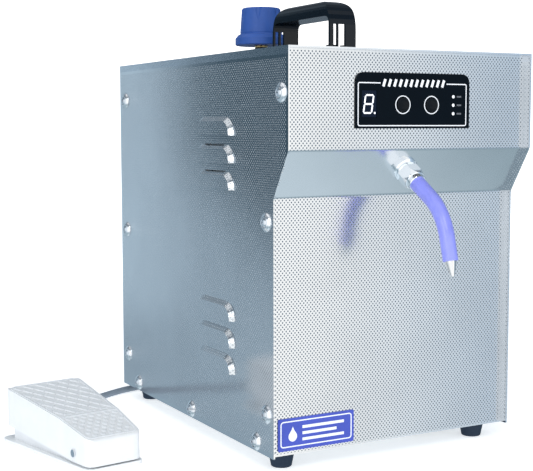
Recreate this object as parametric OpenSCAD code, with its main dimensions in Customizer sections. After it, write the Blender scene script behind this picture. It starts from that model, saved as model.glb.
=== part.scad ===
// Bench steam cleaner: a steel cabinet round a small boiler, with a bent steam
// nozzle on the raked front, a carrying handle, a screwed filler cap and a foot
// pedal on a cable. Millimetres, +Z up, the front faces -Y. The origin is on the
// floor, under the middle of the cabinet.

/* [Cabinet] */
// Width over the two side panels
body_w = 264; // [250:1:280]
// Depth from the front edges of the side panels to the rear panel
body_d = 380; // [376:1:400]
// Height of the cabinet without its feet
body_h = 360; // [356:1:372]
// Thickness of the steel sheet
sheet = 1.5; // [1.2:0.1:1.8]
// Height of the rubber feet
foot_h = 15; // [12:1:20]
// How far the side panels stand proud of the front panel
front_lip = 7; // [5:1:9]
// How far the lower front stands back behind the upper front
step_back = 26; // [22:1:30]
// Height of the upper bend of the front above the cabinet's bottom
step_top = 272; // [268:1:276]
// Height of the lower bend of the front above the cabinet's bottom
step_bottom = 230; // [226:1:234]
// Depth of the top cover's side flanges
top_flange = 7; // [5:1:9]

/* [Louvres] */
// Length of one louvre
louvre_len = 80; // [60:1:90]
// Height of one louvre
louvre_h = 17.5; // [14:0.5:20]
// How far a louvre stands out
louvre_out = 4; // [3:0.5:6]
// Distance from louvre to louvre in a group
louvre_pitch = 25; // [22:1:28]

/* [Handle] */
// Length of the handle
handle_len = 115; // [110:1:130]
// Width of the handle
handle_w = 30; // [28:1:32]
// Height of the handle above the top cover
handle_h = 56; // [50:1:60]
// Thickness of the grip bar
grip_t = 16; // [14:1:18]

/* [Controls] */
// Width of the control fascia
fascia_w = 124; // [122:1:128]
// Height of the control fascia
fascia_h = 49; // [47:1:52]
// Travel of a push button
button_travel = 1; // [0.5:0.1:1]

/* [Nozzle] */
// Outer diameter of the soft sleeve
sleeve_d = 14.4; // [13:0.2:14.4]
// Radius of the nozzle's bend
nozzle_bend_r = 55; // [45:1:60]
// Angle of the nozzle's end below the horizontal
nozzle_drop = 75; // [65:1:85]

/* [Filler cap] */
// Diameter of the cap's flange
cap_flange_d = 57; // [54:1:60]
// Height of the cap's top above the top cover
cap_top = 62; // [60:1:66]
// Thread pitch of the cap
cap_pitch = 3; // [2:0.5:3]

/* [Foot pedal] */
// Length of the pedal cover
pedal_len = 148; // [146:1:150]
// Width of the cover at the toe
pedal_toe_w = 54; // [50:1:56]
// Width of the cover at the heel
pedal_heel_w = 79; // [76:1:80]
// Angle that the pedal is turned on the floor
pedal_turn = 8; // [4:1:12]
// Travel of the pedal in degrees
pedal_travel = 5; // [3:0.5:5]

/* [Cable] */
// Diameter of the pedal cable
cable_d = 7; // [6:0.5:7]

/* [Hidden] */

$fn = 64;
over = 1;                              // how far a cutting shape runs past a face

// Cabinet
side_x = body_w / 2;                   // outer face of a side panel
in_x = side_x - sheet;                 // inner face of a side panel
front_y = -body_d / 2;                 // front edges of the side panels
rear_y = body_d / 2;                   // outer face of the rear panel
low_z = foot_h;                        // bottom of the cabinet
top_z = foot_h + body_h;               // top of the cabinet
up_y = front_y + front_lip;            // upper front face
down_y = up_y + step_back;             // lower front face
up_z = low_z + step_top;               // upper bend
down_z = low_z + step_bottom;          // lower bend
rake_len = norm([step_back, up_z - down_z]);
rake_tilt = atan2(step_back, up_z - down_z);
miter = (1 - cos(rake_tilt)) / sin(rake_tilt);
bend_cut = 1.6;                        // how much of each side a fold takes up
return_w = 15;                         // depth of the folded side returns
shank_hole_r = 2.3;

// Side screws, as [y, z]
screw_column_front = [[front_y + 12, top_z - 39], [down_y + 6, down_z - 21], [down_y + 6, low_z + 38]];
screw_column_rear = [for (z = [top_z - 39, top_z - 182, low_z + 37]) [rear_y - 16, z]];
screw_row_bottom = [for (y = [-131, 7, 145]) [y, low_z + 9]];
side_spots = concat(screw_column_front, screw_column_rear, screw_row_bottom);

// Feet, as [x, y]
feet_spots = [for (x = [-109, 109], y = [down_y + 20, rear_y - 26]) [x, y]];
foot_top_r = 12.25;
foot_low_r = 9.5;

// Louvres: lower edges of the two groups
louvre_y = -50;
louvre_rows = concat([for (i = [0:2]) low_z + 284 - i * louvre_pitch],
                     [for (i = [0:2]) low_z + 112 - i * louvre_pitch]);

// Handle
handle_y = -9.5;
handle_leg_t = 3;
handle_screw_x = 8;
// Slots through the front and the rear leg, from x to x
handle_slots = [[[-10.8, -6.4], [-5, 3]], [[-13, -8.4], [-6.5, -2.5]]];
handle_screw_y = [handle_y - handle_len / 2 + 9, handle_y + handle_len / 2 - 9];

// Controls, in the plane of the upper front face
fascia_x = 0.8;
fascia_z = low_z + 290.5;
fascia_t = 1.6;
control_z = low_z + 311.4;
button_x = [-11.5, 19.9];
button_r = 6.3;
button_stem = 7.9 - button_travel;
light_x = 44.6;
light_pitch = 7.7;
display_x = -47.2;
display_z = low_z + 312;
display_w = 15.4;
display_h = 23.4;
board_y = up_y + 9.6;
board_t = 1.6;

// Nozzle: its fitting stands square on the raked face
nozzle_s = 21.3;                       // distance down the rake from the upper bend
thread_r = 7.2;
nut_end = 24.4;
nozzle_straight = 22;
nozzle_tail = 21;
nozzle_angle = nozzle_drop - rake_tilt;
sleeve_start = 16;
tube_start = 2;
tip_spigot = 6;
sleeve_run = [[nut_end - sleeve_start + nozzle_straight], [nozzle_bend_r, nozzle_angle], [nozzle_tail]];
tube_run = [[nut_end - tube_start + nozzle_straight], [nozzle_bend_r, nozzle_angle],
            [nozzle_tail - tip_spigot]];

// Filler neck and cap
filler_y = 101;
neck_r = 7.5;
neck_top = top_z + 37;
cap_low = top_z + 21.5;
cap_high = top_z + cap_top;
gasket_t = 1.5;

// Boiler
boiler_y = 75;
boiler_r = 85;
boiler_low = 70;
boiler_high = 280;
boiler_wall = 2;
boiler_flat_r = 62;
steam_port_y = 25;
probe_x = -42;
safety_x = 42;
pressure_spot = [-30, 120];
thermostat_spot = [28, 117];
heater_r = 24;
drain_spot = [45, 90];
drain_z = 42;
drain_pipe_r = 6;
ball_y = rear_y + 21;

// Solenoid valve, in the nozzle's frame
valve_z = -40;
valve_end = -58;
plunger_r = 5;
fit = 0.06;                            // radial clearance of a running fit

// Rear panel fittings
inlet_x = 88;
inlet_z = 110;
switch_z = 152;
rocker_tilt = 8;
rocker_pin_r = 1.5;
gland_x = -92;
gland_z = 32;
gland_len = 26;

// Pedal
pedal_x = -247;
pedal_y = -80;
pad_h = 2;
plate_top = 5.5;
hem_z = plate_top + 1.5;
pedal_wall = 2.5;
pivot_v = 25;
pivot_z = 15.5;
pin_r = 3;
ridge_v = 50;
toe_z = 31.5;
ridge_z = 42.5;
heel_z = 54.5;
skirt_z = plate_top + 2.3 + (pedal_len - pivot_v) * sin(pedal_travel);
spring_v = 36;
spring_r = 5;
lever_v = 59;
lever_z = 26;
roller_v = 88;
roller_r = 3;
relief_u = 12;
relief_z = 13.5;
relief_end = 168;
pedal_dir = [-sin(pedal_turn), cos(pedal_turn), 0];

// Cable: a lead from the rear panel, a wound coil, and a tail to the pedal
cable_r = cable_d / 2;
coil_x = -46;
coil_y = 268;
coil_out_r = 49.5;
coil_in_r = 26;
lead_route = [
    [gland_x, rear_y + gland_len, gland_z], [-92, 227, 30], [-92, 236, 25], [-92, 243, 18],
    [-92, 250, 11], [-92, 259, 5.5], [-92, 268, 3.5]];
tail_route = [
    [-46, 222, 10.5], [-62, 220, 9.5], [-78, 216, 6.5], [-95, 211, 4], [-113, 206, 3.5],
    [-131, 200, 3.5], [-149, 191, 3.5], [-166, 181, 3.5], [-184, 173, 3.5], [-203, 167, 3.5],
    [-222, 160, 3.5], [-238, 149, 4.5], [-250, 133, 8], [-255, 114, 12],
    [pedal_x, pedal_y, relief_z] + relief_u * [cos(pedal_turn), sin(pedal_turn), 0]
        + relief_end * pedal_dir];

// Corner points of an outline, each cut back and rounded
function toward(a, b) = (b - a) / norm(b - a);
function blend(a, b, c, t) = (1 - t) * (1 - t) * a + 2 * t * (1 - t) * b + t * t * c;
function soften(p, cut, n = 4) = [
    for (i = [0:len(p) - 1])
        let (q = p[i], a = p[(i + len(p) - 1) % len(p)], b = p[(i + 1) % len(p)],
             c = is_list(cut) ? cut[i] : cut)
        each c == 0 ? [q]
            : [for (k = [0:n]) blend(q + c * toward(q, a), q, q + c * toward(q, b), k / n)]];
function box_outline(x0, y0, x1, y1) = [[x0, y0], [x1, y0], [x1, y1], [x0, y1]];

// The front's section from its bottom to its top, moved inward by t
function front_line(t, za, zb) = [
    [down_y + t, za], [down_y + t, down_z + t * miter], [up_y + t, up_z + t * miter], [up_y + t, zb]];
function front_band(t0, t1, za, zb) = soften(concat(
    front_line(t0, za, zb), [for (i = [3:-1:0]) front_line(t1, za, zb)[i]]),
    [0, bend_cut, bend_cut, 0, 0, bend_cut, bend_cut, 0]);

// Draws a [y, z] outline from x0 to x1
module along_x(x0, x1) {
    translate([x0, 0, 0]) rotate([90, 0, 90]) linear_extrude(x1 - x0) children();
}

// Draws an [x, z] outline on a front face at y, standing out by t
module on_front(y, t) {
    translate([0, y, 0]) rotate([90, 0, 0]) linear_extrude(t) children();
}

module block(low, high) {
    translate(low) cube(high - low);
}

// Puts its children on a side panel's outer face, +Z outward
module at_side(side, spot) {
    translate([side * side_x, spot[0], spot[1]]) rotate([0, side * 90, 0]) children();
}

// Puts its children on the upper front face, +Z outward
module at_control(x, z) {
    translate([x, up_y, z]) rotate([90, 0, 0]) children();
}

// Puts its children on the rear panel's outer face, +Z outward
module at_rear(x, z) {
    translate([x, rear_y, z]) rotate([-90, 0, 0]) children();
}

// Puts its children on the raked face at the nozzle, +Z outward
module at_nozzle() {
    translate([0, up_y + nozzle_s * sin(rake_tilt), up_z - nozzle_s * cos(rake_tilt)])
        rotate([90 + rake_tilt, 0, 0]) children();
}

// Puts its children in the pedal's frame: X across, Y from toe to heel
module at_pedal() {
    translate([pedal_x, pedal_y, 0]) rotate([0, 0, pedal_turn]) children();
}

module ring(r_in, r_out, h) {
    difference() {
        cylinder(r = r_out, h = h);
        translate([0, 0, -over]) cylinder(r = r_in, h = h + 2 * over);
    }
}

module hexagon(flats, h) {
    cylinder(r = flats / sqrt(3), h = h, $fn = 6);
}

// Draws a round outline along steps: [length] is straight, [radius, angle] bends toward +Y
module along_steps(steps, i = 0) {
    if (i < len(steps)) {
        s = steps[i];
        if (len(s) == 1) {
            linear_extrude(s[0]) children();
            translate([0, 0, s[0]]) along_steps(steps, i + 1) children();
        } else {
            translate([0, s[0], 0]) rotate([90, 0, -90])
                rotate_extrude(angle = s[1]) translate([s[0], 0]) children();
            translate([0, s[0] * (1 - cos(s[1])), s[0] * sin(s[1])])
                rotate([-s[1], 0, 0]) along_steps(steps, i + 1) children();
        }
    }
}

module pipe_run(steps, r, bore_r) {
    along_steps(steps) difference() {
        circle(r = r);
        circle(r = bore_r);
    }
}

// Puts its children at the end of a run of steps
module at_run_end(steps, i = 0) {
    if (i == len(steps)) children();
    else if (len(steps[i]) == 1)
        translate([0, 0, steps[i][0]]) at_run_end(steps, i + 1) children();
    else
        translate([0, steps[i][0] * (1 - cos(steps[i][1])), steps[i][0] * sin(steps[i][1])])
            rotate([-steps[i][1], 0, 0]) at_run_end(steps, i + 1) children();
}

// ---- Cabinet ----

module base_chassis() color("silver") difference() {
    union() {
        block([-in_x, down_y + sheet, low_z], [in_x, rear_y - sheet, low_z + sheet]);
        for (s = [-1, 1]) translate([s * (in_x - sheet / 2), 0, 0])
            block([-sheet / 2, down_y + return_w + 2, low_z], [sheet / 2, rear_y - 26, low_z + 22]);
    }
    for (p = feet_spots) translate([p[0], p[1], low_z - over]) cylinder(r = 2.75, h = sheet + 2 * over);
    for (s = [-1, 1], p = side_spots)
        at_side(s, p) translate([0, 0, -8]) cylinder(r = shank_hole_r, h = 12);
    // Cooling slots under the boards
    for (i = [0:5]) block([50, -120 + i * 14, low_z - over], [100, -114 + i * 14, low_z + sheet + over]);
}

module front_panel() color("lightsteelblue") difference() {
    union() {
        along_x(-in_x, in_x) polygon(front_band(0, sheet, low_z, top_z - sheet));
        for (s = [-1, 1]) translate([s * (in_x - sheet / 2), 0, 0]) along_x(-sheet / 2, sheet / 2)
            polygon(front_band(sheet, return_w, low_z + sheet, top_z - sheet));
    }
    for (s = [-1, 1], p = side_spots)
        at_side(s, p) translate([0, 0, -8]) cylinder(r = shank_hole_r, h = 12);
    for (x = button_x) at_control(x, control_z) translate([0, 0, -5]) cylinder(r = 7.5, h = 10);
    for (i = [-1:1]) at_control(light_x, control_z + i * light_pitch)
        translate([0, 0, -5]) cylinder(r = 1.8, h = 10);
    translate([0, 5, 0]) on_front(up_y, 10) translate([display_x, display_z])
        square([display_w + 2, display_h + 2], center = true);
    at_nozzle() translate([0, 0, -5]) cylinder(r = thread_r + 0.2, h = 10);
}

// A flat-faced pressing with round ends and a 45 degree bevel: at x0 it is r high, and it reaches to x1
module louvre_form(r, x0, x1) {
    half = louvre_len / 2 - louvre_h;
    out = x0 - x1;
    translate([x0, 0, 0]) {
        for (s = [-1, 1]) translate([0, s * half, 0]) rotate([0, -90, 0])
            cylinder(r1 = r, r2 = r - out, h = out);
        rotate([90, 0, 0]) linear_extrude(2 * half, center = true)
            polygon([[0, -r], [-out, out - r], [-out, r - out], [0, r]]);
    }
}

module louvre_hood() intersection() {
    louvre_form(louvre_h + 0.2, 0.2, -louvre_out);
    block([-louvre_out - over, -louvre_len, 0], [0.3, louvre_len, louvre_h + over]);
}

module louvre_mouth() intersection() {
    louvre_form(louvre_h + sheet * (1 - sqrt(2)) + over, sheet + over, sheet - louvre_out);
    block([-louvre_out, -louvre_len, -0.01], [sheet + over, louvre_len, louvre_h + sheet + over]);
}

// A side panel as seen on the left, with its outer face at -side_x
module side_panel() difference() {
    union() {
        along_x(-side_x, -in_x) polygon(soften([
            [front_y, top_z - top_flange], [front_y, up_z], [front_y + step_back, down_z],
            [front_y + step_back, low_z], [rear_y, low_z], [rear_y, top_z - top_flange]],
            [0, 3, 3, 1, 1, 0]));
        for (z = louvre_rows) translate([-side_x, louvre_y, z]) louvre_hood();
    }
    for (z = louvre_rows) translate([-side_x, louvre_y, z]) louvre_mouth();
    for (p = side_spots) at_side(-1, p) translate([0, 0, -4]) cylinder(r = shank_hole_r, h = 8);
}

module side_panel_left() color("lightsteelblue") side_panel();

module side_panel_right() color("lightsteelblue") mirror([1, 0, 0]) side_panel();

module top_cover() color("lightsteelblue") difference() {
    union() {
        block([-side_x, front_y, top_z - sheet], [side_x, rear_y, top_z]);
        for (s = [-1, 1]) {
            translate([s * (side_x - sheet / 2), 0, 0])
                block([-sheet / 2, front_y, top_z - top_flange], [sheet / 2, rear_y, top_z - sheet]);
            // Inner tabs that the upper side screws hold
            for (y = [[up_y + sheet + 1, up_y + 18], [rear_y - 22, rear_y - 6]])
                translate([s * (in_x - 1.5 * sheet), 0, 0])
                    block([-sheet / 2, y[0], top_z - 49], [sheet / 2, y[1], top_z - sheet]);
        }
    }
    for (s = [-1, 1], p = side_spots)
        at_side(s, p) translate([0, 0, -8]) cylinder(r = shank_hole_r, h = 12);
    translate([0, filler_y, top_z - 5]) cylinder(r = 9.3, h = 10);
    for (x = [-1, 1], y = handle_screw_y)
        translate([x * handle_screw_x, y, top_z - 5]) cylinder(r = 2.75, h = 10);
}

module rear_panel() color("lightsteelblue") difference() {
    union() {
        block([-in_x, rear_y - sheet, low_z], [in_x, rear_y, top_z - sheet]);
        for (s = [-1, 1]) translate([s * (in_x - sheet / 2), 0, 0])
            block([-sheet / 2, rear_y - 24, low_z + sheet], [sheet / 2, rear_y - sheet, top_z - sheet]);
    }
    for (s = [-1, 1], p = side_spots)
        at_side(s, p) translate([0, 0, -8]) cylinder(r = shank_hole_r, h = 12);
    at_rear(gland_x, gland_z) translate([0, 0, -5]) cylinder(r = 6.6, h = 10);
    at_rear(drain_spot[0], drain_z) translate([0, 0, -5]) cylinder(r = drain_pipe_r + 0.3, h = 10);
    block([inlet_x - 14.2, rear_y - 5, inlet_z - 10.2], [inlet_x + 14.2, rear_y + 5, inlet_z + 10.2]);
    block([inlet_x - 10.2, rear_y - 5, switch_z - 13.2], [inlet_x + 10.2, rear_y + 5, switch_z + 13.2]);
    // Rows of cooling holes
    for (i = [0:9], j = [0:4]) at_rear(-63 + i * 14, top_z - 115 + j * 14)
        translate([0, 0, -5]) cylinder(r = 3, h = 10);
}

// A low dome on a round head that is r wide and reaches from z0 to z1
module dome(r, z0, z1) {
    R = (r * r + (z1 - z0) * (z1 - z0)) / (2 * (z1 - z0));
    intersection() {
        translate([0, 0, z1 - R]) sphere(r = R);
        translate([0, 0, z0 - 0.01]) cylinder(r = r, h = z1 - z0 + 1);
    }
}

module casing_screw() difference() {
    union() {
        translate([0, 0, -9]) cylinder(r = 2, h = 10.5);
        translate([0, 0, 1.2]) cylinder(r = 4.8, h = 1);
        dome(4.8, 2.2, 4.2);
    }
    translate([0, 0, 2.4]) hexagon(2.9, 4);
}

module casing_screws() color("gainsboro") for (s = [-1, 1], p = side_spots) at_side(s, p) casing_screw();

module cup_washers() color("white") for (s = [-1, 1], p = side_spots) at_side(s, p)
    rotate_extrude() polygon([[2.3, 0], [8.5, 0], [8.5, 0.5], [7.6, 1.4], [6.2, 2.5], [5.5, 2.9],
                              [4.95, 2.9], [4.95, 1.2], [2.3, 1.2]]);

module rubber_feet() color("midnightblue") for (p = feet_spots) translate([p[0], p[1], 0])
    rotate_extrude() polygon([[5.5, 0], [foot_low_r - 0.6, 0], [foot_low_r, 0.6],
                              [foot_top_r, foot_h - 0.8], [foot_top_r - 0.6, foot_h],
                              [2.75, foot_h], [2.75, 8], [5.5, 8]]);

// Screws of one size that hold the feet and the handle, with their nuts
module mounting_screws() color("gainsboro") {
    for (p = feet_spots) translate([p[0], p[1], 0]) {
        translate([0, 0, 8]) cylinder(r = 2.5, h = foot_h + 3);
        translate([0, 0, 4.8]) cylinder(r = 4.6, h = 3.2);
        translate([0, 0, low_z + sheet]) difference() {
            hexagon(8, 4);
            translate([0, 0, -over]) cylinder(r = 2.6, h = 6);
        }
    }
    for (x = [-1, 1], y = handle_screw_y) translate([x * handle_screw_x, y, top_z]) {
        translate([0, 0, -sheet - 3.2]) cylinder(r = 4.6, h = 3.2);
        translate([0, 0, -sheet]) cylinder(r = 2.5, h = 10);
    }
}

module handle() color("black") difference() {
    y0 = handle_y - handle_len / 2;
    y1 = handle_y + handle_len / 2;
    z1 = top_z + handle_h;
    union() {
        difference() {
            intersection() {
                along_x(-handle_w / 2, handle_w / 2)
                    polygon(soften(box_outline(y0, top_z, y1, z1), [0, 0, 30, 30], 10));
                translate([0, y1, 0]) rotate([90, 0, 0]) linear_extrude(handle_len) polygon(soften(
                    box_outline(-handle_w / 2, top_z, handle_w / 2, z1), [0, 0, 12, 12], 8));
            }
            along_x(-handle_w, handle_w) polygon(soften(
                box_outline(y0 + handle_leg_t, top_z - over, y1 - handle_leg_t, z1 - grip_t),
                [0, 0, 7, 7]));
            for (leg = [0, 1], x = handle_slots[leg]) let (y = [y0, y1 - handle_leg_t][leg])
                block([x[0], y - over, top_z + 4], [x[1], y + handle_leg_t + over, top_z + 32]);
        }
        for (y = [y0, y1 - 16])
            block([-handle_w / 2, y, top_z], [handle_w / 2, y + 16, top_z + 4]);
        for (x = [-1, 1], y = handle_screw_y)
            translate([x * handle_screw_x, y, top_z]) cylinder(r = 5, h = 12);
    }
    for (x = [-1, 1], y = handle_screw_y)
        translate([x * handle_screw_x, y, top_z - over]) cylinder(r = 2.6, h = 10.5 + over);
}

// ---- Controls ----

module control_fascia() color("black") difference() {
    on_front(up_y, fascia_t) polygon(soften(
        box_outline(fascia_x - fascia_w / 2, fascia_z, fascia_x + fascia_w / 2, fascia_z + fascia_h),
        [0, 0, 9, 9], 6));
    for (x = button_x) at_control(x, control_z) translate([0, 0, -over]) cylinder(r = 6.6, h = 4);
    for (i = [-1:1]) at_control(light_x, control_z + i * light_pitch)
        translate([0, 0, -over]) cylinder(r = 1.65, h = 4);
    translate([0, over, 0]) on_front(up_y, 4) translate([display_x, display_z])
        square([display_w + 0.4, display_h + 0.4], center = true);
}

module display_module() color("darkslategray") {
    translate([0, board_y - up_y, 0]) on_front(up_y, board_y - up_y + fascia_t - 0.5)
        translate([display_x, display_z]) square([display_w, display_h], center = true);
}

// A push button: a dished cap, a flange behind the fascia and a stem to its switch
module push_button() rotate_extrude() polygon([
    [0, -button_stem], [2, -button_stem], [2, -3], [button_r - 1, -3], [button_r - 1, -2.2], [7.1, -2.2],
    [7.1, -0.4], [button_r, -0.4], [button_r, 2.4], [button_r - 0.5, 2.8], [button_r - 1.2, 2.8],
    [4, 2.2], [0, 2]]);

module button_left() color("black") at_control(button_x[0], control_z) push_button();

module button_right() color("black") at_control(button_x[1], control_z) push_button();

module indicator_lights() color("white") for (i = [-1:1])
    at_control(light_x, control_z + i * light_pitch) {
        translate([0, 0, up_y - board_y]) cylinder(r = 1.5, h = board_y - up_y + 1.5);
        dome(1.5, 1.5, 2.1);
    }

module control_board() color("darkgreen") {
    translate([0, board_y + board_t, 0]) on_front(0, board_t)
        translate([0, control_z]) square([124, 44], center = true);
    for (x = button_x) at_control(x, control_z) translate([0, 0, up_y - board_y]) cylinder(r = 3, h = 1.6);
    for (x = [-57, 57], z = [control_z - 17, control_z + 17])
        at_control(x, z) translate([0, 0, up_y - board_y]) cylinder(r = 3, h = board_y - up_y - sheet);
    for (b = [[-50, 12, 24, 9], [-10, 2, 16, 4], [20, -8, 30, 7]])
        translate([b[0], board_y + board_t, control_z + b[1] - 8]) cube([b[2], b[3], 12]);
}

module badge() color("mediumblue") on_front(down_y, 0.8)
    polygon(soften(box_outline(-124, low_z + 4, -44.3, low_z + 33.5), 2));

// ---- Nozzle ----

module nozzle_bulkhead() color("silver") at_nozzle() difference() {
    union() {
        translate([0, 0, -28]) cylinder(r = thread_r, h = 42);
        rotate_extrude() polygon([[0, 0], [12, 0], [12, 2.2], [11.2, 3], [10.6, 3], [10.6, 5], [0, 5]]);
    }
    translate([0, 0, -28 - over]) cylinder(r = 4.1, h = 42 + 2 * over);
}

module nozzle_locknut() color("silver") at_nozzle() translate([0, 0, -sheet - 6]) difference() {
    hexagon(22, 6);
    translate([0, 0, -over]) cylinder(r = thread_r + 0.1, h = 8);
}

module union_nut() color("gainsboro") at_nozzle() difference() {
    union() {
        intersection() {
            translate([0, 0, 5]) hexagon(19, 14.5);
            rotate_extrude() polygon([[0, 5], [9.8, 5], [11, 6.5], [11, 14], [9.3, 19.5], [0, 19.5]]);
        }
        rotate_extrude() polygon([[0, 19], [8.7, 19], [8.7, nut_end - 0.7], [8.2, nut_end], [0, nut_end]]);
    }
    translate([0, 0, 4]) cylinder(r = thread_r + 0.1, h = 24);
}

module nozzle_tube() color("silver") at_nozzle() mirror([0, 1, 0])
    translate([0, 0, tube_start]) pipe_run(tube_run, 4, 2.5);

module nozzle_sleeve() color("mediumslateblue") at_nozzle() mirror([0, 1, 0])
    translate([0, 0, sleeve_start]) pipe_run(sleeve_run, sleeve_d / 2, 4.1);

module nozzle_tip() color("silver") at_nozzle() mirror([0, 1, 0])
    translate([0, 0, sleeve_start]) at_run_end(sleeve_run) difference() {
        rotate_extrude() polygon([[0, -tip_spigot], [4, -tip_spigot], [4, 0], [4.9, 0], [4.9, 1.5],
                                  [1.6, 13.6], [1.2, 14], [0, 14]]);
        translate([0, 0, -tip_spigot - over]) cylinder(r = 0.7, h = 30);
        translate([0, 0, -tip_spigot - over]) cylinder(r = 2.5, h = tip_spigot + over);
    }

// ---- Filler neck and cap ----

// The thread's ridges, drawn as rings, from z up to the neck's top
function neck_ridges(z) = z + cap_pitch > neck_top - top_z ? [[neck_r, z]]
    : concat([[neck_r, z], [neck_r - 0.9, z + cap_pitch / 2]], neck_ridges(z + cap_pitch));

module filler_neck() color("goldenrod") translate([0, filler_y, 0]) difference() {
    union() {
        translate([0, 0, boiler_high - 6]) cylinder(r = 9, h = top_z - boiler_high + 8);
        translate([0, 0, boiler_high]) cylinder(r = 13, h = 4);
        translate([0, 0, top_z]) hexagon(26, 11);
        translate([0, 0, top_z]) rotate_extrude() polygon(concat([[0, 0], [neck_r, 0]], neck_ridges(12),
            [[neck_r - 0.9, neck_top - top_z], [0, neck_top - top_z]]));
    }
    translate([0, 0, boiler_high - 6 - over]) cylinder(r = 5.5, h = 150);
}

module cap_gasket() color("dimgray") translate([0, filler_y, neck_top]) ring(5.6, 7.4, gasket_t);

// The plug turns freely in the knob, so that the gasket isn't dragged round
module cap_plug() color("goldenrod") translate([0, filler_y, neck_top + gasket_t]) {
    cylinder(r = 7.4, h = 2.5);
    cylinder(r = 2.5, h = 9);
    translate([0, 0, 7.2]) cylinder(r = 4.2, h = 1.8);
}

module cap_knob() color("royalblue") translate([0, filler_y, 0]) difference() {
    r1 = cap_flange_d / 2;
    union() {
        rotate_extrude($fn = 96) polygon([
            [0, cap_low], [r1 - 1, cap_low], [r1, cap_low + 1], [r1, cap_low + 7.5],
            [r1 - 3.5, cap_low + 11.5], [23.2, cap_low + 12], [22.8, cap_low + 13], [23.1, cap_low + 14],
            [21.3, cap_high - 1.5], [20, cap_high], [0, cap_high]]);
    }
    // Finger scallops, each a cone with its point on the cap's side
    for (a = [0:60:300]) rotate([0, 0, a + 53]) translate([22, 0, cap_high - 14])
        rotate([0, 13, 0]) cylinder(r1 = 0.1, r2 = 7.3, h = 17);
    // Threaded socket, the plug's pocket and the clip's pocket
    translate([0, 0, cap_low - over]) cylinder(r = neck_r + 0.35, h = neck_top + 4.4 - cap_low + over);
    translate([0, 0, cap_low]) cylinder(r = 2.5 + fit, h = neck_top + 10 - cap_low);
    translate([0, 0, neck_top + gasket_t + 6.9]) cylinder(r = 5, h = 4);
}

// ---- Boiler ----

function arc_points(cx, cz, r, a0, a1, n) =
    [for (i = [0:n]) let (a = a0 + (a1 - a0) * i / n) [cx + r * cos(a), cz + r * sin(a)]];

module boiler_section(r, low, high) {
    k = boiler_r - boiler_flat_r;
    e = r - boiler_flat_r;
    polygon(concat([[0, low]], arc_points(boiler_flat_r, low + e, e, -90, 0, 6),
                   arc_points(boiler_flat_r, high - e, e, 0, 90, 6), [[0, high]]));
}

module boiler_port(spot, r) {
    translate([spot[0], spot[1], boiler_high - 10]) cylinder(r = r, h = 20);
}

module boiler_shell() color("silver") difference() {
    translate([0, boiler_y, 0]) rotate_extrude() boiler_section(boiler_r, boiler_low, boiler_high);
    translate([0, boiler_y, 0]) rotate_extrude()
        boiler_section(boiler_r - boiler_wall, boiler_low + boiler_wall, boiler_high - boiler_wall);
    translate([0, boiler_y, boiler_low - over]) cylinder(r = heater_r, h = 5);
    translate([drain_spot[0], drain_spot[1], boiler_low - over]) cylinder(r = drain_pipe_r + 0.1, h = 5);
    boiler_port([0, filler_y], 9.1);
    boiler_port([0, steam_port_y], 5.1);
    boiler_port([probe_x, boiler_y], 4.1);
    boiler_port([safety_x, boiler_y], 6.1);
    boiler_port(pressure_spot, 4.1);
}

module insulation_jacket() color("lightyellow") translate([0, boiler_y, boiler_low + 26])
    ring(boiler_r + 0.5, boiler_r + 12, boiler_high - boiler_low - 52);

module boiler_stand() color("silver") translate([0, boiler_y, 0]) {
    translate([0, 0, boiler_low - 4]) difference() {
        ring(52, 82, 4);
        translate([drain_spot[0], drain_spot[1] - boiler_y, -over]) cylinder(r = 10, h = 8);
    }
    for (a = [0:90:270]) rotate([0, 0, a]) {
        translate([70, -7, low_z + sheet]) cube([3, 14, boiler_low - 4 - low_z - sheet]);
        translate([70, -7, low_z + sheet]) cube([16, 14, 2]);
    }
}

module heating_element() color("gray") translate([0, boiler_y, 0]) {
    translate([0, 0, boiler_low - 8]) cylinder(r = 34, h = 8);
    for (y = [-9, 9]) {
        translate([12, y, boiler_low - 8]) mirror([1, 0, 0]) rotate([0, 0, -90])
            along_steps([[78], [12, 180], [78]]) circle(r = 3.5);
        for (x = [-12, 12]) translate([x, y, boiler_low - 16]) cylinder(r = 2, h = 9);
    }
    for (a = [0:60:300]) rotate([0, 0, a]) translate([28, 0, boiler_low - 12]) hexagon(8, 4.5);
}

module thermostat() color("black") translate([thermostat_spot[0], thermostat_spot[1], boiler_high]) {
    cylinder(r = 8, h = 9);
    for (y = [-4, 4]) translate([-3, y - 0.4, 8]) cube([6, 0.8, 9]);
}

module pressure_switch() color("gray") translate([pressure_spot[0], pressure_spot[1], boiler_high]) {
    translate([0, 0, -5]) cylinder(r = 4, h = 6);
    hexagon(14, 6);
    translate([0, 0, 5]) cylinder(r = 15, h = 20);
    for (y = [-5, 5]) translate([-3, y - 0.4, 24]) cube([6, 0.8, 9]);
}

module safety_valve_body() color("goldenrod") translate([safety_x, boiler_y, boiler_high]) difference() {
    union() {
        translate([0, 0, -5]) cylinder(r = 6, h = 6);
        hexagon(18, 8);
        translate([0, 0, 7]) cylinder(r = 8.5, h = 26);
    }
    translate([0, 0, -6]) cylinder(r = 3, h = 20);
    translate([0, 0, 12]) cylinder(r = 6.5, h = 18);
    translate([0, 0, 25]) cylinder(r = 2 + fit, h = 10);
    for (a = [0, 90]) rotate([0, 0, a]) translate([0, 0, 18]) rotate([90, 0, 0])
        cylinder(r = 2, h = 20, center = true);
}

module safety_valve_stem() color("silver") translate([safety_x, boiler_y, boiler_high]) {
    translate([0, 0, 12]) cylinder(r = 6, h = 3);
    translate([0, 0, 12]) cylinder(r = 2, h = 27);
    translate([0, 0, 42]) rotate([90, 0, 0]) rotate_extrude() translate([6, 0]) circle(r = 1.1);
    translate([0, 0, 34.5]) cylinder(r = 3, h = 2);
}

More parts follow.
